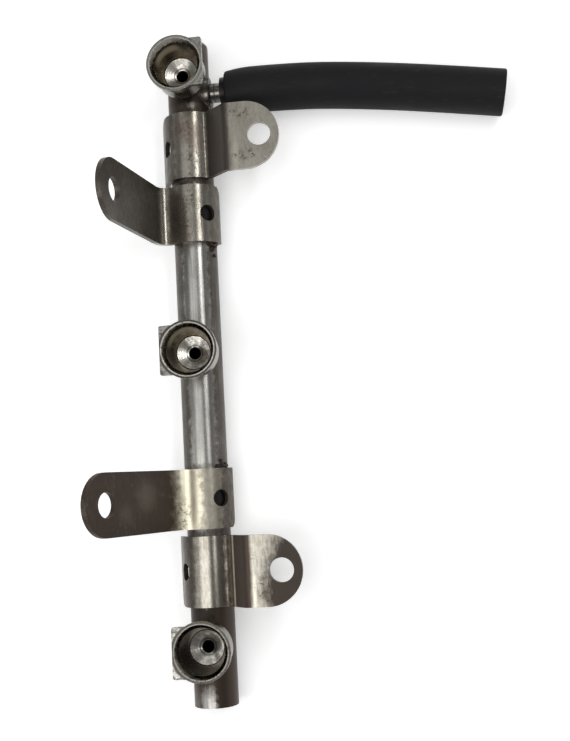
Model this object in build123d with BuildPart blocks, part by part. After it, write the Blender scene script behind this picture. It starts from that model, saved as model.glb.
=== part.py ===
from build123d import *

import os
from math import atan2, cos, degrees, hypot, pi, radians, sin, sqrt, tan

# Fuel rail of a three cylinder engine, with a short length of fuel hose on its inlet.
#
# A steel tube carries three injector cups, two short brackets and two long ones, all brazed on.
# Lengths are in millimetres. The rail lies on its back: Z is up along the cups, Y runs along the
# tube towards the hose, and the hose leaves along X. The origin is the middle of the floor of the
# middle cup's pocket. Heights in a section plane are counted from the middle of the tube.

# Rail tube
tube_diameter = 13.0
tube_wall = 1.2
cap_end_overhang = 13.4
plug_end_overhang = 18.0
cap_edge_bevel = 1.0
cap_thickness = 1.6
plug_depth = 5.0
plug_wall = 0.8
plug_recess = 0.8

# Every joint is brazed with this gap all round
braze_gap = 0.05

# Injector cups
cup_pitch = 85.0
pocket_diameter = 13.2
pocket_depth = 9.0
lead_in_depth = 1.4
lead_in_width = 1.0
cup_wall = 0.9
floor_cone_diameter = 10.2
floor_cone_depth = 2.2
feed_diameter = 3.5
neck_inset_from_tube = 1.7
neck_rise = 1.2272
spigot_diameter = 6.0
flange_diameter = 17.0
flange_thickness = 1.3
flange_flat_reach = 8.2
flange_flat_width = 14.4
flange_corner_round = 0.6
cup_braze_reach = 0.8
bracket_braze_reach = 2.4

# Brackets, folded from strip
strip_thickness = 1.5
mount_hole_diameter = 7.0
saddle_hole_diameter = 5.0
bracket_gap = 2.1
free_corner_round = 2.8

short_width = 20.5
short_from_outer_cup = 21.0
short_lean_angle = 45.0
short_face_offset = 0.2
short_root_round = 1.2
short_ear_height = 12.0
short_ear_round = 2.6
short_ear_tip = 28.8
short_ear_hole = 22.8
short_wrap_angle = 70.0
short_tail = 4.0
short_saddle_hole_angle = 57.0

long_width = 17.6
long_lean_angle_1 = 8.6
long_face_offset_1 = 8.3
long_root_round_1 = 3.0
long_hole_reach_1 = 40.5
long_lean_angle_2 = 23.3
long_face_offset_2 = 3.6
long_root_round_2 = 4.0
long_hole_reach_2 = 42.2
long_wrap_angle = 84.0
long_tail = 0.6
long_saddle_hole_angle = 42.0

# Inlet
inlet_from_outer_cup = 3.0
collar_inset_from_tube = 1.75
collar_reach = 0.5
inlet_braze_reach = 0.35
pipe_diameter = 6.0
pipe_bore = 3.6
pipe_groove_depth = 0.3
bead_widths = (1.4, 1.5)
bead_groove = 0.25
stop_diameter = 9.0
stop_thickness = 1.6
barb_pitch = 6.0
barb_count = 2

# Fuel hose
hose_diameter = 14.0
hose_fit_gap = 0.05

# The runs of the hose's route from the inlet's stop, as steps along X and Y of its middle line
hose_runs = [(20.0, 0.0), (21.0, -2.0), (22.0, -3.1), (21.4, -3.6)]
bend_share = 0.45

# Two lengths or directions that differ by less are the same
same_within = 1e-4

# Places worked out from the sizes above
tube_radius = tube_diameter / 2
seat_radius = tube_radius + braze_gap
neck_diameter = tube_diameter - 2 * neck_inset_from_tube
taper_drop = cup_wall * sqrt(2) + (pocket_diameter - neck_diameter) / 2
floor_height = tube_radius + neck_rise + taper_drop
axis_z = -floor_height
inlet_collar_diameter = tube_diameter - 2 * collar_inset_from_tube
inlet_collar_face = tube_radius + collar_reach
outer_cup_y = cup_pitch
cap_end_y = outer_cup_y + cap_end_overhang
plug_end_y = -outer_cup_y - plug_end_overhang
inlet_y = outer_cup_y - inlet_from_outer_cup
inlet_z = axis_z + hose_diameter / 2 - tube_radius
pipe_radius = pipe_diameter / 2
pipe_root_radius = pipe_radius - pipe_groove_depth
stop_face = inlet_collar_face + sum(bead_widths) + 2 * bead_groove + stop_thickness
spigot_end_height = tube_radius - tube_wall
short_y = outer_cup_y - short_from_outer_cup
long_y = short_y - short_width / 2 - bracket_gap - long_width / 2


def finish(piece, label):
    """Labels a finished piece and writes it as a STEP file."""
    piece.part.label = label
    export_step(piece.part, f"parts/{label}.step")


def section_plane(y, side=1):
    """A plane across the tube: its x points to the given side and its y is the height."""
    return Plane(origin=(0, y, axis_z), x_dir=(side, 0, 0), z_dir=(0, -side, 0))


def rail_tube():
    with BuildPart() as tube:
        with BuildSketch(section_plane(plug_end_y)):
            Circle(tube_radius)
            Circle(tube_radius - tube_wall, mode=Mode.SUBTRACT)
        extrude(amount=-(cap_end_y - cap_thickness - plug_end_y))
        with BuildSketch(Plane.XY.offset(axis_z)):
            with Locations((0, -outer_cup_y), (0, 0), (0, outer_cup_y)):
                Circle(spigot_diameter / 2 + braze_gap)
        extrude(amount=tube_diameter, mode=Mode.SUBTRACT)
        with BuildSketch(Plane(origin=(0, inlet_y, inlet_z), z_dir=(1, 0, 0))):
            Circle(pipe_root_radius + braze_gap)
        extrude(amount=tube_diameter, mode=Mode.SUBTRACT)
    finish(tube, "rail_tube")


def end_cap():
    """Closes the end by the hose: a bevelled disc with a hollow spigot inside the tube."""
    spigot_radius = tube_radius - tube_wall - braze_gap
    middle = Axis((0, 0, axis_z), (0, 1, 0))
    face_y = cap_end_y
    shoulder_y = cap_end_y - cap_thickness
    end_y = shoulder_y - plug_depth
    with BuildPart() as cap:
        with BuildSketch(Plane.XY.offset(axis_z)):
            with BuildLine():
                Polyline(
                    (0, face_y),
                    (tube_radius, face_y),
                    (tube_radius, shoulder_y),
                    (spigot_radius, shoulder_y),
                    (spigot_radius, end_y),
                    (spigot_radius - plug_wall, end_y),
                    (spigot_radius - plug_wall, shoulder_y),
                    (0, shoulder_y),
                    close=True,
                )
            make_face()
        revolve(axis=middle)
        rim = cap.edges().filter_by(GeomType.CIRCLE).group_by(Axis.Y)[-1]
        chamfer(rim, cap_edge_bevel)
    finish(cap, "rail_end_cap")


def end_plug():
    """Closes the square end: a shallow pressed cup a little way inside the tube."""
    plug_radius = tube_radius - tube_wall - braze_gap
    mouth_y = plug_end_y + plug_recess
    back_y = mouth_y + plug_depth
    with BuildPart() as plug:
        with BuildSketch(Plane.XY.offset(axis_z)):
            with BuildLine():
                Polyline(
                    (0, back_y),
                    (plug_radius, back_y),
                    (plug_radius, mouth_y),
                    (plug_radius - plug_wall, mouth_y),
                    (plug_radius - plug_wall, back_y - plug_wall),
                    (0, back_y - plug_wall),
                    close=True,
                )
            make_face()
        revolve(axis=Axis((0, 0, axis_z), (0, 1, 0)))
    finish(plug, "rail_end_plug")


def injector_cup(number, y, flat_side):
    """One cup: mouth flange, pocket, dished floor, and a neck that straddles the tube."""
    mouth = floor_height + pocket_depth
    pocket_radius = pocket_diameter / 2
    body_radius = pocket_radius + cup_wall
    neck_radius = neck_diameter / 2
    taper_foot = tube_radius + neck_rise
    taper_top = taper_foot + body_radius - neck_radius
    flange_foot = mouth - flange_thickness
    cone_foot = floor_height - floor_cone_depth
    middle = Axis((0, y, 0), (0, 0, 1))
    with BuildPart() as cup:
        with BuildSketch(section_plane(y)):
            with BuildLine():
                Polyline(
                    (0, 0),
                    (neck_radius, 0),
                    (neck_radius, taper_foot),
                    (body_radius, taper_top),
                    (body_radius, flange_foot),
                    (0, flange_foot),
                    close=True,
                )
            make_face()
        revolve(axis=middle)
        with BuildSketch(Plane(origin=(0, y, axis_z + flange_foot), x_dir=(flat_side, 0, 0))):
            Circle(flange_diameter / 2)
            with Locations((flange_flat_reach + flange_diameter / 2, 0)):
                Rectangle(flange_diameter, flange_diameter, mode=Mode.SUBTRACT)
            with Locations((flange_flat_reach / 2, 0)):
                Rectangle(flange_flat_reach, flange_flat_width)
        extrude(amount=flange_thickness)
        corners = cup.edges().filter_by(Axis.Z).group_by(Axis.X)[-1 if flat_side > 0 else 0]
        fillet(corners, flange_corner_round)
        with BuildSketch(section_plane(y)):
            Circle(seat_radius)
        extrude(amount=flange_diameter, both=True, mode=Mode.SUBTRACT)
        with BuildSketch(Plane(origin=(0, y, axis_z + spigot_end_height))):
            Circle(spigot_diameter / 2)
        extrude(amount=cone_foot - spigot_end_height)
        with BuildSketch(section_plane(y)):
            with BuildLine():
                Polyline(
                    (0, mouth),
                    (pocket_radius + lead_in_width, mouth),
                    (pocket_radius, mouth - lead_in_depth),
                    (pocket_radius, floor_height),
                    (floor_cone_diameter / 2, floor_height),
                    (feed_diameter / 2, cone_foot),
                    (feed_diameter / 2, 0),
                    (0, 0),
                    close=True,
                )
            make_face()
        revolve(axis=middle, mode=Mode.SUBTRACT)
    finish(cup, f"injector_cup_{number}")


def cup_braze(number, y):
    """The brazing fillet round a cup's neck, where it stands on the tube."""
    neck_radius = neck_diameter / 2
    with BuildPart() as braze:
        with BuildSketch(section_plane(y)):
            Circle(tube_radius)
        extrude(amount=flange_diameter / 2, both=True)
        with BuildSketch(Plane(origin=(0, y, axis_z))):
            Circle(neck_radius)
        extrude(amount=floor_height)
        chamfer(braze.edges(Select.NEW), cup_braze_reach)
        with BuildSketch(section_plane(y)):
            Circle(tube_radius)
        extrude(amount=flange_diameter, both=True, mode=Mode.SUBTRACT)
        with BuildSketch(Plane(origin=(0, y, axis_z))):
            Circle(neck_radius)
        extrude(amount=floor_height, mode=Mode.SUBTRACT)
        with BuildSketch(Plane(origin=(0, inlet_y, inlet_z), z_dir=(1, 0, 0))):
            Circle(inlet_collar_diameter / 2 + braze_gap)
        extrude(amount=inlet_collar_face, mode=Mode.SUBTRACT)
    finish(braze, f"cup_braze_{number}")


class Strap:
    """Where a bracket's strip runs in its section plane, with the ear on the plane's x side.

    The strip hugs the tube, turns in a tight root bend and leaves as a wall that leans by a
    given angle. Its upper face lies at face_offset from the middle of the tube.
    """

    def __init__(self, lean, face_offset, root_round):
        self.along = (sin(radians(lean)), cos(radians(lean)))
        self.out = (cos(radians(lean)), -sin(radians(lean)))
        self.face_offset = face_offset
        self.root_round = root_round
        reach = seat_radius + strip_thickness + root_round
        inset = face_offset - root_round
        self.root_reach = sqrt(reach**2 - inset**2)
        self.root_middle = self.point(inset, self.root_reach)
        self.root_angle = degrees(atan2(*self.root_middle))

    def point(self, offset, reach):
        """A point by its distance out from the tube's middle and its distance along the wall."""
        return (
            offset * self.out[0] + reach * self.along[0],
            offset * self.out[1] + reach * self.along[1],
        )

    def wall_start(self):
        return self.point(self.face_offset, self.root_reach)


def polar(radius, angle):
    """A point at an angle from straight up, positive towards the plane's x side."""
    return (radius * sin(radians(angle)), radius * cos(radians(angle)))


def saddle(strap, wrap, tail):
    """Draws the strip's outer face from its free end over the tube to the start of the wall."""
    outer = seat_radius + strip_thickness
    edge = polar(outer, -wrap)
    fall = (-cos(radians(wrap)), -sin(radians(wrap)))
    Line((edge[0] + tail * fall[0], edge[1] + tail * fall[1]), edge)
    arc = CenterArc((0, 0), outer, 90 + wrap, -(wrap + strap.root_angle))
    return TangentArc(polar(outer, strap.root_angle), strap.wall_start(), tangent=arc % 1)


def short_bracket(number, y, outboard):
    """A bracket whose ear stands out over the hose side, level with the tube's top and higher."""
    side = 1
    strap = Strap(short_lean_angle, short_face_offset, short_root_round)
    bend_offset = short_face_offset + short_ear_round
    bend_height = short_ear_height - short_ear_round
    bend_reach = (bend_height - bend_offset * strap.out[1]) / strap.along[1]
    bend_middle = strap.point(bend_offset, bend_reach)
    with BuildPart() as bracket:
        with BuildSketch(section_plane(y, side)):
            with BuildLine():
                saddle(strap, short_wrap_angle, short_tail)
                wall = Line(strap.wall_start(), strap.point(short_face_offset, bend_reach))
                bend = TangentArc(wall @ 1, (bend_middle[0], short_ear_height), tangent=wall % 1)
                Line(bend @ 1, (short_ear_tip, short_ear_height))
                offset(amount=strip_thickness, side=Side.RIGHT)
            make_face()
        extrude(amount=short_width / 2, both=True)
        ear = Plane(origin=(side * short_ear_tip, y, axis_z + short_ear_height), x_dir=(side, 0, 0))
        trim_ear(ear, short_width)
        with BuildSketch(ear):
            with Locations((short_ear_hole - short_ear_tip, 0)):
                Circle(mount_hole_diameter / 2)
        extrude(amount=-2 * strip_thickness, mode=Mode.SUBTRACT)
        saddle_hole(y, side, short_saddle_hole_angle)
        round_free_corner(bracket, short_wrap_angle, outboard, side, y)
    finish(bracket, f"short_bracket_{number}")
    bracket_braze(f"short_bracket_braze_{number}", strap, y, side, short_width)


def long_bracket(number, y, outboard, lean, face_offset, root_round, hole_reach):
    """A bracket whose ear stands up beside the tube, on the side away from the hose."""
    side = -1
    strap = Strap(lean, face_offset, root_round)
    tip_reach = hole_reach + long_width / 2
    with BuildPart() as bracket:
        with BuildSketch(section_plane(y, side)):
            with BuildLine():
                saddle(strap, long_wrap_angle, long_tail)
                Line(strap.wall_start(), strap.point(face_offset, tip_reach))
                offset(amount=strip_thickness, side=Side.RIGHT)
            make_face()
        extrude(amount=long_width / 2, both=True)
        tip = strap.point(face_offset, tip_reach)
        ear = Plane(
            origin=(side * tip[0], y, axis_z + tip[1]),
            x_dir=(side * strap.along[0], 0, strap.along[1]),
            z_dir=(-side * strap.out[0], 0, -strap.out[1]),
        )
        trim_ear(ear, long_width)
        with BuildSketch(ear):
            with Locations((-long_width / 2, 0)):
                Circle(mount_hole_diameter / 2)
        extrude(amount=-2 * strip_thickness, mode=Mode.SUBTRACT)
        saddle_hole(y, side, long_saddle_hole_angle)
        round_free_corner(bracket, long_wrap_angle, outboard, side, y)
    finish(bracket, f"long_bracket_{number}")
    bracket_braze(f"long_bracket_braze_{number}", strap, y, side, long_width)


def trim_ear(ear, width):
    """Rounds an ear's end to a half circle; the plane's origin is the tip and x points out."""
    half = width / 2
    with BuildSketch(ear) as waste:
        with Locations((-half, 0)):
            Rectangle(width, 2 * width, align=(Align.MIN, Align.CENTER))
            Circle(half, mode=Mode.SUBTRACT)
    extrude(waste.sketch, amount=-2 * strip_thickness, mode=Mode.SUBTRACT)


def saddle_hole(y, side, angle):
    """The hole through the strip where it hugs the tube, for checking the braze."""
    way = (-side * sin(radians(angle)), 0, cos(radians(angle)))
    with BuildSketch(Plane(origin=(0, y, axis_z), x_dir=(0, 1, 0), z_dir=way)) as hole:
        Circle(saddle_hole_diameter / 2)
    extrude(hole.sketch, amount=tube_diameter, mode=Mode.SUBTRACT)


def round_free_corner(bracket, wrap, outboard, side, y):
    """Rounds the free end's corner on the side away from the middle cup."""
    across = (-side * sin(radians(wrap)), 0, cos(radians(wrap)))
    short_edges = bracket.edges().filter_by(lambda edge: is_across(edge, across))
    corner = short_edges.sort_by(Axis((0, y, 0), (0, outboard, 0)))[-1]
    fillet(corner, free_corner_round)


def is_across(edge, across):
    """True for a straight edge that goes through the strip at its free end."""
    if edge.geom_type != GeomType.LINE or abs(edge.length - strip_thickness) > same_within:
        return False
    return abs(abs((edge % 0.5).dot(Vector(*across))) - 1) < same_within


def bracket_braze(label, strap, y, side, width):
    """The brazing metal in the cleft between the tube and the strip's root bend."""
    bend_radius = strap.root_round + strip_thickness
    cleft_angle = strap.root_angle + degrees(bracket_braze_reach / seat_radius)
    foot = polar(seat_radius, cleft_angle)
    away = (foot[0] - strap.root_middle[0], foot[1] - strap.root_middle[1])
    share = bend_radius / hypot(*away)
    head = (strap.root_middle[0] + away[0] * share, strap.root_middle[1] + away[1] * share)
    start = polar(seat_radius, strap.root_angle)
    with BuildPart() as braze:
        with BuildSketch(section_plane(y, side)):
            with BuildLine():
                RadiusArc(start, foot, seat_radius)
                Line(foot, head)
                RadiusArc(head, start, bend_radius)
            make_face()
        extrude(amount=width / 2, both=True)
    finish(braze, label)


def inlet_braze():
    """The brazing fillet round the inlet collar, on the tube's side."""
    collar_radius = inlet_collar_diameter / 2
    inlet = Plane(origin=(0, inlet_y, inlet_z), z_dir=(1, 0, 0))
    with BuildPart() as braze:
        with BuildSketch(section_plane(inlet_y)):
            Circle(tube_radius)
        extrude(amount=inlet_collar_diameter, both=True)
        with BuildSketch(inlet):
            Circle(collar_radius)
        extrude(amount=inlet_collar_face + inlet_braze_reach)
        chamfer(braze.edges(Select.NEW).group_by(Axis.X)[0], inlet_braze_reach)
        with BuildSketch(section_plane(inlet_y)):
            Circle(tube_radius)
        extrude(amount=2 * inlet_collar_diameter, both=True, mode=Mode.SUBTRACT)
        with BuildSketch(inlet):
            Circle(collar_radius)
        extrude(amount=2 * inlet_collar_face, mode=Mode.SUBTRACT)
        with BuildSketch(Plane(origin=(0, outer_cup_y, axis_z))):
            Circle(neck_diameter / 2 + cup_braze_reach + braze_gap)
        extrude(amount=floor_height, mode=Mode.SUBTRACT)
    finish(braze, "inlet_braze")


def inlet_collar():
    """A short ring that straddles the tube's side and holds the inlet pipe."""
    with BuildPart() as collar:
        with BuildSketch(Plane(origin=(0, inlet_y, inlet_z), z_dir=(1, 0, 0))):
            Circle(inlet_collar_diameter / 2)
        extrude(amount=inlet_collar_face)
        with BuildSketch(section_plane(inlet_y)):
            Circle(seat_radius)
        extrude(amount=inlet_collar_diameter, both=True, mode=Mode.SUBTRACT)
        with BuildSketch(Plane(origin=(0, inlet_y, inlet_z), z_dir=(1, 0, 0))):
            Circle(pipe_root_radius + braze_gap)
        extrude(amount=inlet_collar_face, mode=Mode.SUBTRACT)
        with BuildSketch(Plane(origin=(0, outer_cup_y, axis_z))):
            Circle(neck_diameter / 2 + braze_gap)
        extrude(amount=floor_height, mode=Mode.SUBTRACT)
    finish(collar, "inlet_collar")


def inlet_pipe():
    """The turned inlet pipe: beads and a stop collar in view, barbs inside the hose."""
    start = spigot_end_height
    points = [(start, pipe_bore / 2), (start, pipe_root_radius), (inlet_collar_face, pipe_root_radius)]
    station = inlet_collar_face
    for width in bead_widths:
        points += [(station, pipe_radius), (station + width, pipe_radius)]
        station += width
        points += [(station, pipe_root_radius), (station + bead_groove, pipe_root_radius)]
        station += bead_groove
    points += [(station, stop_diameter / 2), (stop_face, stop_diameter / 2), (stop_face, pipe_root_radius)]
    station = stop_face
    for _ in range(barb_count):
        station += barb_pitch
        points += [(station - barb_pitch / 2, pipe_root_radius), (station - barb_pitch / 2, pipe_radius)]
        points += [(station, pipe_root_radius)]
    points += [(station, pipe_bore / 2)]
    with BuildPart() as pipe:
        with BuildSketch(Plane(origin=(0, inlet_y, inlet_z), z_dir=(0, 0, 1))):
            with BuildLine():
                Polyline(*points, close=True)
            make_face()
        revolve(axis=Axis((0, inlet_y, inlet_z), (1, 0, 0)))
    finish(pipe, "inlet_pipe")


def bend_radii(points):
    """The largest radius that each corner's two runs allow."""
    radii = []
    for before, corner, after in zip(points, points[1:], points[2:]):
        first = Vector(*corner) - Vector(*before)
        second = Vector(*after) - Vector(*corner)
        half_turn = radians(first.get_angle(second)) / 2
        radii.append(bend_share * min(first.length, second.length) / tan(half_turn))
    return radii


def fuel_hose():
    points = [(stop_face, inlet_y, inlet_z)]
    for along, across in hose_runs:
        points.append((points[-1][0] + along, points[-1][1] + across, inlet_z))
    radii = bend_radii(points)
    with BuildPart() as hose:
        with BuildLine() as route:
            FilletPolyline(*points, radius=radii)
        line = route.wires()[0]
        with BuildSketch(Plane(origin=line @ 0, z_dir=line % 0)):
            Circle(hose_diameter / 2)
            Circle(pipe_radius + hose_fit_gap, mode=Mode.SUBTRACT)
        sweep(path=line)
    finish(hose, "fuel_hose")
    section = pi * ((hose_diameter / 2) ** 2 - (pipe_radius + hose_fit_gap) ** 2)
    print("hose bend radii", [round(radius, 1) for radius in radii], "length", round(line.length, 2))
    print("hose volume", round(hose.part.volume, 1), "section times length", round(section * line.length, 1))


os.makedirs("parts", exist_ok=True)
rail_tube()
end_cap()
end_plug()
for cup_number, cup_y, flat in ((1, outer_cup_y, 1), (2, 0.0, -1), (3, -outer_cup_y, -1)):
    injector_cup(cup_number, cup_y, flat)
    cup_braze(cup_number, cup_y)
for bracket_number, end in ((1, 1), (2, -1)):
    short_bracket(bracket_number, end * short_y, end)
long_bracket(1, long_y, 1, long_lean_angle_1, long_face_offset_1, long_root_round_1, long_hole_reach_1)
long_bracket(2, -long_y, -1, long_lean_angle_2, long_face_offset_2, long_root_round_2, long_hole_reach_2)
inlet_collar()
inlet_braze()
inlet_pipe()
fuel_hose()
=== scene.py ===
"""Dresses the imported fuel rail: worn steel, brazed joints and a rubber hose, on a pale floor."""

from math import cos, pi, radians, sin

import bmesh
import bpy
from mathutils import Matrix, Vector, noise


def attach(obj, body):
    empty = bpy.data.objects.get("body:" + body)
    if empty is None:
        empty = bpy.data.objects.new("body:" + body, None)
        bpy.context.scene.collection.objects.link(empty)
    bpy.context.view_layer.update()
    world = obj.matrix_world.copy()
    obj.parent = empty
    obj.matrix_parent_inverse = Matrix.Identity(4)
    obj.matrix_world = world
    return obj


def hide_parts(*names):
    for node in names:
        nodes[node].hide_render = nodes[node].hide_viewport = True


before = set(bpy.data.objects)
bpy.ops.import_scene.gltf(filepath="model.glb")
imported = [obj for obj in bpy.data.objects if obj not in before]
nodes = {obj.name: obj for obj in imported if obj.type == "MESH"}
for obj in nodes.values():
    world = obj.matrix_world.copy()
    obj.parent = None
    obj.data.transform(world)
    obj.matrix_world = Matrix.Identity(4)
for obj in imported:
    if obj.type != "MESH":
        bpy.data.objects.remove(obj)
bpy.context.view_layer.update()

MM = 0.001

# The photograph's camera, fitted to the cups and holes
IMAGE_HEIGHT = 741
FOCAL_PIXELS = 1052.748
TURNS = (-0.106, -0.116, 0.067)
CAMERA_PLACE = Vector((62.1, -39.235, 301.955)) * MM
SENSOR = 36.0
CLIP_START = 0.01

# The hose's route, with the same corners as in the part's source
HOSE_DIAMETER = 14.0 * MM
HOSE_BORE = 6.1 * MM
HOSE_Y = 82.0
HOSE_Z = -10.3
HOSE_ROUTE = [(12.0, 82.0), (32.0, 82.0), (53.0, 80.0), (75.0, 76.9), (96.4, 73.3)]

# The hose's mesh: the rounding of its ends, and how far its mouth is drawn in over the stop
HOSE_SIDES = 96
HOSE_STEPS = 48
HOSE_EDGE = 0.4 * MM
MOUTH_PINCH = 0.9 * MM
PINCH_REACH = 9 * MM

TUBE_RADIUS = 6.5
BORE_RADIUS = 5.3
TUBE_Z = -10.8
FLOOR_Z = TUBE_Z - TUBE_RADIUS

# The cups' radii and heights, from the part's source
CUP_PITCH = 85.0
CUP_TOP = 9.0
CUP_FLANGE = 8.5
CUP_MOUTH = 7.6
CUP_POCKET = 6.6
CONE_RADIUS = 5.1
FEED_RADIUS = 1.75
FEED_TOP = -2.2

# The painted shade, a brown tint on the flanks of tube and wraps, fades in over these angles from
# straight up,
# in radians, and fades out over this distance from the tube's axis
FLANK_LEFT = (-0.60, -0.36)
FLANK_RIGHT = (0.60, 0.86)
FLANK_REACH = (8.6, 10.0)

# The painted highlight, a crescent on the cups' walls: the way it faces, and the heights where it starts
# and ends
CRESCENT_WAY = (-0.574, 0.819)
CRESCENT_START = (1.5, 3.5)
CRESCENT_END = (5.2, 7.2)

# Rounding of worn edges: an edge is sharp from this angle on, and faces are flat below the other
SHARP_ANGLE = radians(32)
FLAT_ANGLE = radians(0.8)
WELD = 0.002
EDGE_SEGMENTS = 3

# Lamps: name, place, width and length in millimetres, and brightness where 1 is white
LAMPS = [
    ("strip", (232, 190, 375), (78, 300), 7.0),
    ("strip_low", (232, -30, 375), (78, 140), 2.6),
    ("panel_high", (-108, 290, 430), (350, 280), 0.6),
    ("panel", (-108, 65, 430), (350, 170), 1.2),
    ("panel_low", (-108, -150, 430), (350, 260), 2.6),
    ("side_low", (-420, -120, 330), (240, 260), 1.1),
]
DOME = 0.20
HORIZON = 0.9
FLOOR_REACH = 3.0
FLOOR_GLOW = 0.38

# Lumps of brazing metal beside the long brackets: angle round the tube, place along it and size
BLOBS = [(50, 33.8, 1.0), (64, 33.5, 1.35), (58, 32.0, 0.8), (68, 30.2, 0.65),
         (44, -33.7, 1.0), (57, -33.6, 1.35), (67, -33.2, 0.9), (53, -31.9, 0.65)]
BLOB_FLATNESS = 0.8

BROWN = (0.045, 0.031, 0.022, 1)
DARK_BROWN = (0.026, 0.018, 0.013, 1)
# Painted shade: the brown tint on the flanks, on the slopes and over the ears
PAINTED_SHADE = (0.058, 0.048, 0.038, 1)
# Near black: painted shade in the holes, the bore and the inlet's groove, and the black of the hose's
# mouth
NEAR_BLACK = (0.012, 0.010, 0.009, 1)
RUST = (0.085, 0.036, 0.024, 1)
RUBBED = (0.15, 0.125, 0.10, 1)
PALE = (0.50, 0.46, 0.38, 1)
GOLDEN = (0.80, 0.74, 0.58, 1)
ROUND = (1, 1, 1)


def place_camera():
    turn_x, turn_y, turn_z = TURNS
    turn = Matrix.Rotation(turn_z, 3, "Z") @ Matrix.Rotation(turn_y, 3, "Y")
    turn = turn @ Matrix.Rotation(turn_x, 3, "X")
    data = bpy.data.cameras.new("camera")
    data.sensor_width = SENSOR
    data.lens = FOCAL_PIXELS * SENSOR / IMAGE_HEIGHT
    data.clip_start = CLIP_START
    camera = link(bpy.data.objects.new("camera", data))
    camera.matrix_world = Matrix.Translation(CAMERA_PLACE) @ turn.transposed().to_4x4()
    bpy.context.scene.camera = camera


def link(obj):
    bpy.context.scene.collection.objects.link(obj)
    return obj


def grey(value, warmth):
    """A grey, slightly golden where warmth is above 0."""
    return (value * (1 + warmth), value, value * (1 - 2.2 * warmth), 1)


def on_tube(angle, y):
    """A point on the tube at an angle from straight up, positive towards the hose."""
    return (TUBE_RADIUS * sin(radians(angle)), y, TUBE_Z + TUBE_RADIUS * cos(radians(angle)))


class Tree:
    """A short way to build the nodes of a material or of the world."""

    def __init__(self, name, world=False):
        if world:
            self.owner = bpy.data.worlds.new(name)
            bpy.context.scene.world = self.owner
        else:
            self.owner = bpy.data.materials.new(name)
        self.owner.use_nodes = True
        self.tree = self.owner.node_tree
        self.tree.nodes.clear()

    def add(self, kind, sockets=None, **settings):
        node = self.tree.nodes.new("ShaderNode" + kind)
        for key, value in settings.items():
            setattr(node, key, value)
        for key, value in (sockets or {}).items():
            if isinstance(value, bpy.types.NodeSocket):
                self.tree.links.new(value, node.inputs[key])
            else:
                node.inputs[key].default_value = value
        return node

    def material(self, surface):
        """Closes the tree with a surface and gives the finished material."""
        self.add("OutputMaterial", {"Surface": surface.outputs[0]})
        return self.owner

    def place(self):
        """The point on the object, in millimetres."""
        return self.scaled(self.add("TexCoord").outputs["Object"], 1 / MM)

    def vector(self, operation, a, b):
        return self.add("VectorMath", {0: a, 1: b}, operation=operation).outputs[0]

    def scaled(self, vector, factor):
        return self.add("VectorMath", {0: vector, 3: factor}, operation="SCALE").outputs[0]

    def stretch(self, place, x, y, z):
        return self.vector("MULTIPLY", place, (x, y, z))

    def length(self, vector):
        return self.add("VectorMath", {0: vector}, operation="LENGTH").outputs["Value"]

    def distance(self, x, y):
        return self.length(self.add("CombineXYZ", {0: x, 1: y}).outputs[0])

    def math(self, operation, a, b, clamp=False):
        return self.add("Math", {0: a, 1: b}, operation=operation, use_clamp=clamp).outputs[0]

    def product(self, first, *others):
        for other in others:
            first = self.math("MULTIPLY", first, other)
        return first

    def total(self, *pairs, start=0.0, clamp=False):
        """The start and the sum of every value times its weight."""
        for value, weight in pairs:
            node = self.add("Math", {0: value, 1: weight, 2: start}, operation="MULTIPLY_ADD")
            start = node.outputs[0]
        node.use_clamp = clamp
        return start

    def rest(self, value):
        """What is missing from the value to 1."""
        return self.math("SUBTRACT", 1.0, value)

    def span(self, value, low, high, to_low=0.0, to_high=1.0, smooth=True):
        """Goes from to_low at low to to_high at high, and stays level outside."""
        kind = "SMOOTHSTEP" if smooth else "LINEAR"
        sockets = {"Value": value, "From Min": low, "From Max": high,
                   "To Min": to_low, "To Max": to_high}
        return self.add("MapRange", sockets, interpolation_type=kind).outputs[0]

    def within(self, value, low, high):
        """1 up to low and 0 beyond high."""
        return self.span(value, low, high, 1.0, 0.0)

    def mix(self, share, a, b):
        """Colour a, with b over it where share is 1."""
        return self.add("Mix", {0: share, 6: a, 7: b}, data_type="RGBA").outputs[2]

    def noise(self, place, scale, detail=4.0, rough=0.55, distortion=0.0, output="Fac"):
        sockets = {"Vector": place, "Scale": scale, "Detail": detail, "Roughness": rough,
                   "Distortion": distortion}
        return self.add("TexNoise", sockets).outputs[output]

    def spot(self, place, centre, near, far, squash):
        """1 within near of the centre and 0 beyond far, in millimetres."""
        away = self.vector("SUBTRACT", place, centre)
        return self.within(self.length(self.stretch(away, *squash)), near, far)

    def worn_edge(self):
        """1 on the faces that were made where a sharp edge was rounded."""
        return self.add("Attribute", attribute_name="edge").outputs["Fac"]


def painted_flank_shade(tree, place, left_share):
    """Where the painted shade lies: on both flanks of the tube and the wraps, not on the ears."""
    part = tree.add("SeparateXYZ", {0: place}).outputs
    up = tree.math("SUBTRACT", part["Z"], TUBE_Z)
    angle = tree.math("ARCTAN2", part["X"], up)
    left = tree.product(tree.within(angle, *FLANK_LEFT), left_share)
    sides = tree.math("MAXIMUM", left, tree.span(angle, *FLANK_RIGHT))
    return tree.product(sides, tree.within(tree.distance(part["X"], up), *FLANK_REACH))


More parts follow.
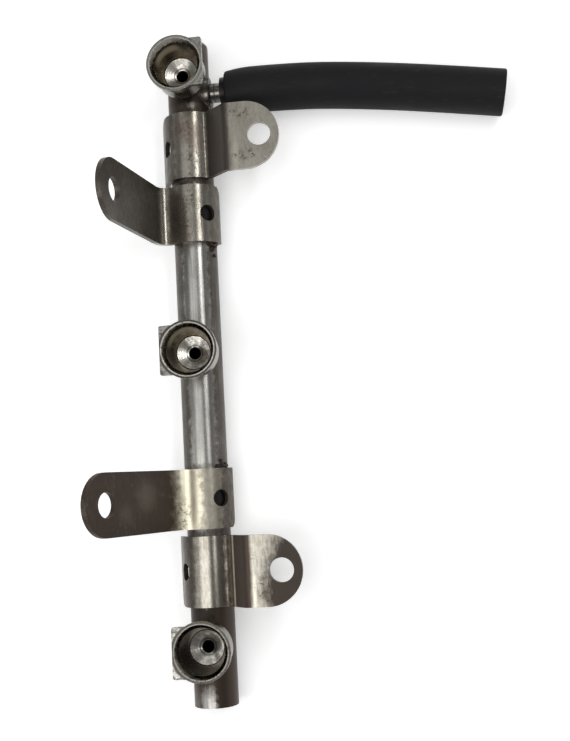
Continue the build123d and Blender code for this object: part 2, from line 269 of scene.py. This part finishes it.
def steel(name, base, marks, grain, warmth=0.08, rough=(0.22, 0.32), pits=0.3, seed=0.0,
          flank_shade=0.0, left_flank_shade=1.0):
    """Worn steel: smooth and bright, with drawn streaks, painted shade as a brown tint on the flanks,
    specks and marks.

    A mark is a centre, its near and far radius and its squash, in millimetres, then a strength, a colour
    and a kind: "soft" has a ragged outline, "crisp" a plain one, and "scribble" is broken up.
    """
    tree = Tree(name)
    place = tree.place()
    shifted = tree.vector("ADD", place, (seed, seed * 0.7, -seed))
    patches = tree.noise(shifted, 0.12, distortion=0.3)
    streaks = tree.noise(tree.stretch(shifted, *grain), 0.9, 5.0, 0.6)
    fine = tree.noise(shifted, 1.5, 6.0, 0.72)

    # The bare metal
    shade = tree.span(tree.total((patches, 0.45), (streaks, 0.35), (fine, 0.2)), 0.36, 0.64)
    colour = tree.mix(shade, grey(base * 0.78, warmth), grey(base * 1.22, warmth * 0.7))

    # Ragged outlines come from a place that is pushed about by noise
    push = tree.noise(shifted, 0.45, 6.0, 0.7, output="Color")
    push = tree.scaled(tree.vector("SUBTRACT", push, (0.5, 0.5, 0.5)), 5.0)
    warped = tree.vector("ADD", place, push)

    # Painted shade on the flanks, a brown tint, a little thinner where the steel is worn
    worn = tree.total((streaks, 0.4), (fine, 0.3), (patches, 0.3))
    worn = tree.span(worn, 0.38, 0.64, 1.0, 0.76)
    shade_and_dirt = tree.product(painted_flank_shade(tree, warped, left_flank_shade), worn, flank_shade)
    colour = tree.mix(shade_and_dirt, colour, PAINTED_SHADE)
    specks = tree.product(tree.span(fine, 0.62, 0.72), pits)
    shade_and_dirt = tree.math("MAXIMUM", shade_and_dirt, specks)
    colour = tree.mix(specks, colour, BROWN)

    broken = tree.span(tree.noise(shifted, 0.8, 6.0, 0.75, 0.8), 0.49, 0.60)
    # Marks: stains, rust and dirt, and also painted shade and painted highlights
    for centre, near, far, squash, strength, tone, kind in marks:
        mark = tree.spot(place if kind == "crisp" else warped, centre, near, far, squash)
        mark = tree.product(mark, broken if kind == "scribble" else worn)
        mark = tree.math("MULTIPLY", mark, strength, clamp=True)
        colour = tree.mix(mark, colour, tone)
        if tone not in (PALE, GOLDEN):
            shade_and_dirt = tree.math("MAXIMUM", shade_and_dirt, mark)

    # Rounded edges are rubbed bright in places
    edge = tree.product(tree.worn_edge(), tree.span(patches, 0.38, 0.55), 0.6)
    colour = tree.mix(edge, colour, PALE)
    shade_and_dirt = tree.math("SUBTRACT", shade_and_dirt, edge, clamp=True)

    gloss = tree.span(streaks, 0.35, 0.65, rough[1], rough[0], smooth=False)
    gloss = tree.total((shade_and_dirt, 0.14), start=gloss, clamp=True)
    metal = tree.total((shade_and_dirt, -0.35), start=1.0, clamp=True)
    height = tree.total((streaks, 0.6), (fine, 0.4), (specks, -0.5))
    bump = tree.add("Bump", {"Height": height, "Strength": 0.25, "Distance": 0.0045 * MM})
    sockets = {"Base Color": colour, "Metallic": metal, "Roughness": gloss, "Normal": bump.outputs[0]}
    return tree.material(tree.add("BsdfPrincipled", sockets))


def cup_crescent_highlight(tree, x, along, radius, height):
    """The painted highlight: a crescent on one side of a cup's wall."""
    side = tree.total((x, CRESCENT_WAY[0]), (along, CRESCENT_WAY[1]))
    facing = tree.span(tree.math("DIVIDE", side, radius), 0.60, 0.95)
    return tree.product(facing, tree.span(height, *CRESCENT_START), tree.within(height, *CRESCENT_END))


def cup_steel(name):
    """The cups' steel: a turned cone, a drawn wall, thinly browned, with a painted highlight crescent,
    and a pale worn rim.
    """
    tree = Tree(name)
    place = tree.place()
    part = tree.add("SeparateXYZ", {0: place}).outputs
    height = part["Z"]
    half = CUP_PITCH / 2
    along = tree.add("Math", {0: part["Y"], 1: half, 2: -half}, operation="WRAP").outputs[0]
    radius = tree.distance(part["X"], along)
    broad = tree.noise(place, 0.22, 4.0, 0.6)
    mottle = tree.noise(place, 0.7, 5.0, 0.65)
    fine = tree.noise(tree.stretch(place, 1, 1, 2.5), 1.6, 5.0, 0.7)

    # The first cup is the cleanest, and the third one is darker
    grubby = tree.within(part["Y"], 20.0, 60.0)
    third_cup = tree.span(part["Y"], -60.0, -20.0, 0.85, 0.0)

    # Where each part of a cup is
    inside = tree.within(radius, CUP_MOUTH - 0.15, CUP_MOUTH)
    outside = tree.rest(inside)
    lead_in = tree.product(inside, tree.span(radius, CUP_POCKET + 0.02, CUP_POCKET + 0.12))
    cone = tree.product(tree.within(radius, CONE_RADIUS - 0.2, CONE_RADIUS + 0.05),
                        tree.within(height, 0.05, 0.2))
    rim = tree.product(tree.span(height, CUP_TOP - 0.5, CUP_TOP - 0.2), outside)
    outer = tree.product(tree.span(radius, CUP_MOUTH + 0.25, CUP_MOUTH + 0.4),
                         tree.span(radius, CUP_FLANGE, CUP_FLANGE + 0.3, 1.0, 0.35),
                         tree.span(grubby, 0.0, 1.0, 0.5, 1.0))
    feed_edge = tree.product(tree.span(radius, FEED_RADIUS + 0.25, FEED_RADIUS + 0.5),
                             tree.within(radius, FEED_RADIUS + 0.7, FEED_RADIUS + 0.95))
    hole = tree.product(tree.within(radius, FEED_RADIUS + 0.07, FEED_RADIUS + 0.2),
                        tree.within(height, FEED_TOP + 0.1, FEED_TOP + 0.3))

    # The body and the wall, with the painted highlight crescent and a darker wall in the third cup
    colour = tree.mix(mottle, grey(0.14, 0.12), grey(0.30, 0.09))
    wall = tree.mix(tree.span(broad, 0.35, 0.65), (0.095, 0.080, 0.062, 1), (0.17, 0.147, 0.110, 1))
    crescent_highlight = tree.product(cup_crescent_highlight(tree, part["X"], along, radius, height), inside, tree.rest(third_cup))
    wall = tree.mix(crescent_highlight, wall, (0.66, 0.58, 0.42, 1))
    wall = tree.mix(third_cup, wall, (0.050, 0.042, 0.034, 1))
    colour = tree.mix(inside, colour, wall)
    colour = tree.mix(lead_in, colour, grey(0.22, 0.06))

    # The rim: pale near the mouth, dark round it, and a painted highlight on the third cup's corners
    pale = tree.mix(third_cup, grey(0.36, 0.03), grey(0.10, 0.05))
    colour = tree.mix(tree.product(rim, tree.span(mottle, 0.36, 0.5, 0.55, 1.0)), colour, pale)
    dark = tree.mix(mottle, grey(0.02, 0.1), grey(0.09, 0.08))
    colour = tree.mix(tree.product(outer, rim), colour, dark)
    corner_highlight = tree.product(third_cup, rim, tree.span(radius, CUP_FLANGE, CUP_FLANGE + 0.4))
    colour = tree.mix(corner_highlight, colour, grey(0.40, 0.03))

    # The cone and its feed hole, whose wall is painted near black as shade
    turned = tree.mix(tree.span(mottle, 0.35, 0.65), grey(0.24, 0.06), grey(0.52, 0.04))
    colour = tree.mix(cone, colour, turned)
    colour = tree.mix(tree.product(feed_edge, 0.7), colour, BROWN)
    colour = tree.mix(hole, colour, NEAR_BLACK)

    # Bright upper edges and dirt outside
    worn = tree.product(tree.worn_edge(), tree.span(height, CUP_TOP - 2.0, CUP_TOP - 1.0), 0.9)
    colour = tree.mix(worn, colour, grey(0.62, 0.03))
    corners = tree.span(radius, CUP_FLANGE - 0.1, CUP_FLANGE + 0.2)
    dirt = tree.total((mottle, 0.6), (fine, 0.4), (grubby, 0.03), (corners, 0.05))
    dirt = tree.product(tree.span(dirt, 0.53, 0.66), 0.8, outside)
    colour = tree.mix(dirt, colour, BROWN)

    dull = tree.math("MAXIMUM", dirt, hole)
    metal = tree.total((dull, -0.6), (cone, -0.25), (crescent_highlight, -0.65), start=1.0, clamp=True)
    gloss = tree.span(mottle, 0.35, 0.65, 0.30, 0.20)
    gloss = tree.total((dull, 0.3), (cone, -0.08), (crescent_highlight, 0.3), start=gloss)

    # A deeper dish for the cone, with turned rings on it
    dish = tree.math("MINIMUM", radius, CONE_RADIUS)
    rings = tree.math("SINE", tree.product(radius, 9.0), 0.0)
    relief = tree.total((tree.product(dish, cone), -0.28), (tree.product(rings, cone), 0.0007),
                        (fine, 0.0015))
    bump = tree.add("Bump", {"Height": relief, "Strength": 1.0, "Distance": 1.0 * MM})
    lathe = tree.add("Tangent", direction_type="RADIAL", axis="Z").outputs[0]
    sockets = {"Base Color": colour, "Metallic": metal, "Roughness": gloss,
               "Normal": bump.outputs[0], "Tangent": lathe}
    surface = tree.add("BsdfPrincipled", sockets)
    surface.inputs["Anisotropic"].default_value = 0.8
    return tree.material(surface)


def brazing(name):
    """Brazing metal: dark brown lumps with a few pinkish, glassy patches of flux."""
    tree = Tree(name)
    place = tree.place()
    lumps = tree.noise(place, 0.7, 4.0, 0.6, 0.6)
    fine = tree.noise(place, 2.2, 5.0, 0.7)
    shade = tree.total((lumps, 0.6), (fine, 0.4))
    colour = tree.mix(tree.span(shade, 0.40, 0.60), (0.016, 0.010, 0.008, 1), (0.060, 0.038, 0.030, 1))
    colour = tree.mix(tree.span(shade, 0.56, 0.67), colour, (0.27, 0.21, 0.185, 1))
    height = tree.total((lumps, 1.0), (fine, 0.35))
    bump = tree.add("Bump", {"Height": height, "Strength": 0.7, "Distance": 0.5 * MM})
    rough = tree.span(fine, 0.35, 0.65, 0.32, 0.58)
    sockets = {"Base Color": colour, "Roughness": rough, "Normal": bump.outputs[0]}
    surface = tree.add("BsdfPrincipled", sockets)
    surface.inputs["Metallic"].default_value = 0.55
    return tree.material(surface)


def rubber(name):
    """Black hose rubber with a faint cloth print, dust and scuffs."""
    tree = Tree(name)
    place = tree.place()
    cloth = tree.noise(tree.stretch(place, 0.6, 1.0, 1.0), 2.6, 3.0, 0.5)
    dust = tree.noise(tree.stretch(place, 0.35, 1.0, 1.0), 0.16, 6.0, 0.65)
    scuff = tree.noise(tree.stretch(place, 0.15, 1.2, 1.2), 0.9, 5.0, 0.7)
    scuff = tree.product(tree.span(scuff, 0.56, 0.72), 0.3)
    dusty = tree.span(dust, 0.4, 0.66)
    colour = tree.mix(dusty, (0.0022, 0.0023, 0.0032, 1), (0.0056, 0.0057, 0.0074, 1))
    colour = tree.mix(scuff, colour, (0.034, 0.035, 0.037, 1))
    rough = tree.span(dust, 0.35, 0.65, 0.62, 0.78, smooth=False)
    height = tree.total((cloth, 0.5), (dust, 1.5))
    bump = tree.add("Bump", {"Height": height, "Strength": 0.35, "Distance": 0.12 * MM})
    sockets = {"Base Color": colour, "Roughness": rough, "Normal": bump.outputs[0]}
    surface = tree.add("BsdfPrincipled", sockets)
    surface.inputs["Specular IOR Level"].default_value = 0.28
    return tree.material(surface)


def dress(node, material):
    """Gives a CAD node its material."""
    data = nodes[node].data
    data.materials.clear()
    data.materials.append(material)


def made(name, mesh, material):
    """An object from a finished mesh."""
    data = bpy.data.meshes.new(name)
    mesh.to_mesh(data)
    mesh.free()
    data.materials.append(material)
    return link(bpy.data.objects.new(name, data))


def softened(node, material, width):
    """A copy of a CAD node's mesh with its sharp edges rounded, in place of the node."""
    mesh = bmesh.new()
    mesh.from_mesh(nodes[node].data)
    bmesh.ops.remove_doubles(mesh, verts=mesh.verts, dist=WELD * MM)
    bmesh.ops.dissolve_limit(mesh, angle_limit=FLAT_ANGLE, verts=mesh.verts, edges=mesh.edges)
    sharp = [edge for edge in mesh.edges
             if len(edge.link_faces) == 2 and edge.calc_face_angle(0) > SHARP_ANGLE]
    rounded = bmesh.ops.bevel(mesh, geom=sharp, offset=width * MM, segments=EDGE_SEGMENTS, profile=0.5,
                              affect="EDGES", clamp_overlap=True)
    worn = mesh.loops.layers.float_color.new("edge")
    fresh = set(rounded["faces"])
    for face in mesh.faces:
        face.smooth = True
        for corner in face.loops:
            corner[worn] = (1, 1, 1, 1) if face in fresh else (0, 0, 0, 1)
    piece = made(node + "_worn", mesh, material)
    normals = piece.modifiers.new("normals", "WEIGHTED_NORMAL")
    normals.keep_sharp = False
    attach(piece, "root")
    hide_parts(node)


def blob(name, angle, y, size, material):
    """A lump of brazing metal on the tube, at an angle from straight up."""
    seat = Vector(on_tube(angle, y))
    mesh = bmesh.new()
    bmesh.ops.create_icosphere(mesh, subdivisions=4, radius=1.0)
    for vertex in mesh.verts:
        way = vertex.co.normalized()
        swell = 1 + 0.5 * noise.fractal(way * 1.3 + seat, 1.0, 2.0, 4)
        vertex.co = (seat + Vector((way.x, way.y * BLOB_FLATNESS, way.z)) * size * swell) * MM
    for face in mesh.faces:
        face.smooth = True
    piece = made(name, mesh, material)
    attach(piece, "root")


def hose_line():
    """The hose's middle line as a smooth curve through its route."""
    curve = bpy.data.curves.new("hose_line", "CURVE")
    curve.dimensions = "3D"
    curve.resolution_u = HOSE_STEPS
    spline = curve.splines.new("NURBS")
    spline.points.add(len(HOSE_ROUTE) - 1)
    for point, (x, y) in zip(spline.points, HOSE_ROUTE):
        point.co = (x * MM, y * MM, HOSE_Z * MM, 1)
    spline.order_u = 3
    spline.use_endpoint_u = True
    holder = bpy.data.objects.new("hose_line", curve)
    mesh = bpy.data.meshes.new_from_object(holder)
    line = [vertex.co.copy() for vertex in mesh.vertices]
    bpy.data.objects.remove(holder)
    bpy.data.meshes.remove(mesh)
    return line


def hose_rings(line):
    """Rings round the hose, as centre, direction and radius: out along its skin, back in its bore."""
    outer = HOSE_DIAMETER / 2
    inner = HOSE_BORE / 2
    ways = [(b - a).normalized() for a, b in zip(line, line[1:])]
    ways = [ways[0]] + [(a + b).normalized() for a, b in zip(ways, ways[1:])] + [ways[-1]]
    skin = []
    for point in line:
        near_mouth = max(0.0, 1 - (point - line[0]).length / PINCH_REACH)
        skin.append(outer - MOUTH_PINCH * near_mouth ** 2)
    rings = [(line[0], ways[0], inner), (line[0], ways[0], skin[0] - HOSE_EDGE)]
    rings.append((line[0] + ways[0] * HOSE_EDGE / 2, ways[0], skin[0]))
    rings += list(zip(line[1:-1], ways[1:-1], skin[1:-1]))
    rings.append((line[-1] - ways[-1] * HOSE_EDGE, ways[-1], outer))
    rings += [(line[-1], ways[-1], outer - HOSE_EDGE), (line[-1], ways[-1], inner)]
    rings += [(point, way, inner) for point, way in zip(line[-2:0:-1], ways[-2:0:-1])]
    return rings


def hose(material):
    line = hose_line()
    mesh = bmesh.new()
    loops = []
    for centre, way, radius in hose_rings(line):
        across = Vector((0, 0, 1)).cross(way).normalized()
        up = way.cross(across).normalized()
        loop = []
        for step in range(HOSE_SIDES):
            turn = 2 * pi * step / HOSE_SIDES
            loop.append(mesh.verts.new(centre + (across * cos(turn) + up * sin(turn)) * radius))
        loops.append(loop)
    for loop, after in zip(loops, loops[1:] + loops[:1]):
        for a, b, c, d in zip(loop, loop[1:] + loop[:1], after[1:] + after[:1], after):
            mesh.faces.new((a, b, c, d)).smooth = True
    bmesh.ops.recalc_face_normals(mesh, faces=mesh.faces)
    piece = made("hose", mesh, material)
    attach(piece, "root")
    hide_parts("fuel_hose")


def place_floor():
    """A pale floor that glows a little, so that it is white to the eye but for the soft shadow."""
    data = bpy.data.meshes.new("floor")
    corners = [(-FLOOR_REACH, -FLOOR_REACH), (FLOOR_REACH, -FLOOR_REACH),
               (FLOOR_REACH, FLOOR_REACH), (-FLOOR_REACH, FLOOR_REACH)]
    data.from_pydata([(x, y, FLOOR_Z * MM) for x, y in corners], [], [(0, 1, 2, 3)])
    tree = Tree("floor")
    rays = tree.add("LightPath").outputs
    seen = tree.math("MAXIMUM", rays["Is Camera Ray"], rays["Is Glossy Ray"])
    seen = tree.math("MAXIMUM", seen, rays["Is Transmission Ray"])
    surface = tree.add("BsdfPrincipled", {"Base Color": (0.93, 0.93, 0.93, 1), "Roughness": 0.9,
                                          "Specular IOR Level": 0.0,
                                          "Emission Color": (1, 1, 1, 1),
                                          "Emission Strength": tree.product(seen, FLOOR_GLOW)})
    data.materials.append(tree.material(surface))
    ground = link(bpy.data.objects.new("floor", data))


def place_world():
    """A grey dome, brighter at its horizon, that is white to the eye."""
    tree = Tree("studio", world=True)
    rays = tree.add("LightPath").outputs
    way = tree.add("SeparateXYZ", {0: tree.add("TexCoord").outputs["Generated"]}).outputs
    dome = tree.span(way["Z"], 0.12, 0.55, HORIZON, DOME)
    shade = tree.add("CombineColor", {0: dome, 1: dome, 2: dome}).outputs[0]
    white = tree.mix(rays["Is Camera Ray"], shade, (1, 1, 1, 1))
    light = tree.add("Background", {"Color": white, "Strength": 1.0})
    tree.add("OutputWorld", {"Surface": light.outputs[0]})


def place_lamps():
    """Soft lamps overhead, each one turned to the tube beside it."""
    for name, spot, (width, length), radiance in LAMPS:
        data = bpy.data.lights.new(name, "AREA")
        data.shape = "RECTANGLE"
        data.size = width * MM
        data.size_y = length * MM
        data.energy = radiance * pi * data.size * data.size_y
        lamp = link(bpy.data.objects.new(name, data))
        lamp.location = Vector(spot) * MM
        back = (lamp.location - Vector((0, spot[1], TUBE_Z)) * MM).normalized()
        along = Vector((0, 1, 0))
        lamp.rotation_euler = Matrix((along.cross(back), along, back)).transposed().to_euler()


def band(y, half, strength, tone=BROWN):
    """A darkening round the tube, strongest at y and gone half a band to each side: painted shade beside
    the parts, partly dirt.
    """
    return ((0, y, TUBE_Z + 4), 0.0, 8.0, (0.35, 8.0 / half, 0.5), strength, tone, "soft")


def fitting_ring(x, near, far, strength, tone):
    """A dark ring round the inlet, at a place along it."""
    return ((x, HOSE_Y, HOSE_Z), near, far, (1, 0, 0), strength, tone, "crisp")


# The tube: dark bands from end to end, painted shade beside the cups and brackets and partly dirt, a
# stain and a pale spot, painted shade in near black under the brackets' holes and in the bore
TUBE_MARKS = [
    band(94, 10, 1.0), band(81, 10, 1.6, DARK_BROWN), band(75, 4, 1.2), band(53, 3, 1.2),
    band(33.5, 1.6, 0.7), band(0, 9, 0.5), band(-33.5, 1.6, 0.6), band(-53, 3, 1.0, DARK_BROWN),
    band(-76, 6, 1.5, DARK_BROWN), band(-91, 12, 2.2),
    ((6.5, -90, TUBE_Z + 3), 6.0, 8.0, (1.1, 0.2, 1), 1.3, BROWN, "soft"),
    ((1.5, 76.5, -4), 0.4, 1.8, (1, 1.3, 1), 0.55, PALE, "soft")]
# Painted shade, near black, on the tube under the brackets' holes
TUBE_MARKS += [(on_tube(angle, y), 2.3, 2.9, ROUND, 1.3, NEAR_BLACK, "crisp")
               for angle, y in ((42, 42.8), (42, -42.8), (-57, 64), (-57, -64))]
# Painted shade, near black, in the bore
TUBE_MARKS += [((0, 0, TUBE_Z), BORE_RADIUS - 0.2, BORE_RADIUS + 0.3, (1, 0, 1), 3.0, NEAR_BLACK, "crisp")]

# The inlet: its foot, painted shade in the groove and at both beads, and the hose's mouth
FITTING_MARKS = [
    fitting_ring(3.6, 1.6, 2.6, 1.0, BROWN),
    fitting_ring(7.0, 0.1, 0.5, 1.0, NEAR_BLACK),
    fitting_ring(8.5, 0.05, 0.3, 0.8, BROWN),
    fitting_ring(10.2, 0.05, 0.3, 0.8, BROWN),
    fitting_ring(11.6, 1.1, 1.3, 1.4, NEAR_BLACK)]

# The first short bracket: painted shade on the slope, a pale line on the ear as a painted highlight,
# patches on the ear, rust on the wrap
SHORT_1_MARKS = [
    # Painted shade on the slope
    ((10.2, 64.0, -4.5), 3.3, 4.9, (1, 0.1, 0.35), 1.3, PAINTED_SHADE, "crisp"),
    # Painted highlight, a pale line on the ear
    ((15.6, 58.5, 0), 0.3, 1.2, (1, 0.15, 0), 0.5, PALE, "crisp"),
    ((17.5, 71.0, 0), 1.2, 3.0, (0.6, 1.2, 0.5), 1.0, BROWN, "scribble"),
    ((18.5, 57.8, 0), 1.2, 3.2, (0.6, 1.1, 0.5), 1.0, BROWN, "scribble"),
    ((25.0, 57.0, 0), 0.6, 2.2, (0.6, 1.3, 0.5), 0.8, BROWN, "scribble"),
    ((-0.5, 68.5, -3), 0.5, 4.5, (1, 0.7, 0.5), 0.45, RUST, "soft"),
    ((3.0, 66.0, -3), 0.5, 3.5, (1.2, 0.5, 0.5), 0.5, RUST, "soft"),
    ((0.5, 69.0, -3), 1.0, 4.0, (1, 0.7, 0.5), 0.7, BROWN, "scribble"),
    ((1.5, 58.0, -3), 1.0, 6.0, (1.5, 0.5, 0.5), 0.8, BROWN, "scribble")]

# The second short bracket: painted shade on the slope, two pale lines as painted highlights, painted
# shade at the ear's dark end and on both sides of the wrap, patches on the ear
SHORT_2_MARKS = [
    # Painted shade on the slope
    ((10.9, -64.0, -4.5), 2.8, 4.1, (1, 0.1, 0.3), 1.4, BROWN, "crisp"),
    # Painted highlights: two pale lines
    ((8.3, -64.0, 0), 0.1, 0.4, (1, 0, 0), 0.9, PALE, "crisp"),
    ((14.8, -70.0, 0), 0.2, 0.7, (1, 0.09, 0), 0.8, PALE, "crisp"),
    # Painted shade at the ear's end
    ((39.5, -68.0, 0), 16.5, 26.0, ROUND, 1.5, DARK_BROWN, "soft"),
    # Painted shade on both sides of the wrap
    ((6.8, -64.0, -8.0), 1.0, 2.6, (1, 0.1, 0.3), 0.7, BROWN, "soft"),
    ((-3.8, -64.0, -4.0), 0.8, 2.6, (1, 0.1, 0.3), 0.45, BROWN, "soft"),
    ((18.4, -68.5, 0), 1.6, 4.2, (0.9, 0.7, 0.5), 0.8, BROWN, "scribble"),
    ((14.5, -60.5, 0), 0.5, 2.0, (1, 0.7, 0.5), 0.6, BROWN, "scribble")]

# The first long bracket: painted shade over the ear, rust and dirt on the wrap
LONG_1_MARKS = [
    # Painted shade over the ear
    ((-13.0, 42.8, 18.5), 20.5, 24.0, ROUND, 1.0, PAINTED_SHADE, "soft"),
    ((-2.5, 39.0, -3), 1.0, 5.0, (1, 0.5, 0.5), 0.9, RUST, "scribble"),
    ((0.5, 47.0, -3), 1.0, 3.5, (1, 0.6, 0.5), 0.8, BROWN, "scribble")]

# The second long bracket: a painted golden highlight on the wrap, painted shade over the ear with two
# rubbed places, dirt
LONG_2_MARKS = [
    # Painted highlight, golden, on the wrap
    ((-4.0, -43.0, -4.0), 2.6, 5.2, (1, 0.3, 1), 1.2, GOLDEN, "soft"),
    # Painted shade over the ear
    ((-18.0, -42.8, 16), 18.0, 24.5, ROUND, 1.2, BROWN, "soft"),
    ((-12.5, -41.0, 11), 0.5, 7.0, ROUND, 0.5, RUBBED, "soft"),
    ((-16.5, -46.0, 19), 0.5, 5.0, ROUND, 0.3, RUBBED, "soft"),
    ((-6.5, -47.5, -4), 1.5, 4.5, (1, 0.7, 1), 0.7, BROWN, "scribble")]


def bracket_steels():
    """Each bracket's node with its own steel."""
    return {
        "short_bracket_1": steel("short_bracket_steel_1", 0.27, SHORT_1_MARKS, (2.0, 0.4, 2.0),
                                 seed=11.0, pits=0.5, flank_shade=1.0),
        "short_bracket_2": steel("short_bracket_steel_2", 0.27, SHORT_2_MARKS, (2.0, 0.4, 2.0),
                                 rough=(0.18, 0.26), seed=23.0, pits=0.4, flank_shade=1.0),
        "long_bracket_1": steel("long_bracket_steel_1", 0.24, LONG_1_MARKS, (2.0, 0.5, 2.0),
                                seed=31.0, flank_shade=0.8),
        "long_bracket_2": steel("long_bracket_steel_2", 0.27, LONG_2_MARKS, (1.0, 0.5, 1.0),
                                warmth=0.10, rough=(0.36, 0.46), seed=43.0, pits=0.4, flank_shade=0.9,
                                left_flank_shade=0.0),
    }


def dress_rail():
    tube = steel("tube_steel", 0.31, TUBE_MARKS, (2.5, 0.1, 2.5), warmth=0.035, flank_shade=1.0)
    cup = cup_steel("cup_steel")
    fitting = steel("fitting_steel", 0.20, FITTING_MARKS, (4, 0.3, 0.3), warmth=0.06,
                    rough=(0.20, 0.28), seed=5.0, pits=0.1)
    braze = brazing("brazing_metal")
    for node in ("rail_tube", "rail_end_plug"):
        dress(node, tube)
    softened("rail_end_cap", tube, 0.4)
    for number in (1, 2, 3):
        softened(f"injector_cup_{number}", cup, 0.14)
        dress(f"cup_braze_{number}", braze)
    for node, material in bracket_steels().items():
        softened(node, material, 0.2)
    for number, (angle, y, size) in enumerate(BLOBS, 1):
        blob(f"braze_blob_{number}", angle, y, size, braze)
    for number in (1, 2):
        dress(f"short_bracket_braze_{number}", braze)
        dress(f"long_bracket_braze_{number}", braze)
    dress("inlet_collar", fitting)
    dress("inlet_pipe", fitting)
    dress("inlet_braze", braze)


bpy.context.scene.view_settings.view_transform = "Standard"
place_camera()
hose(rubber("hose_rubber"))
dress_rail()
place_floor()
place_world()
place_lamps()
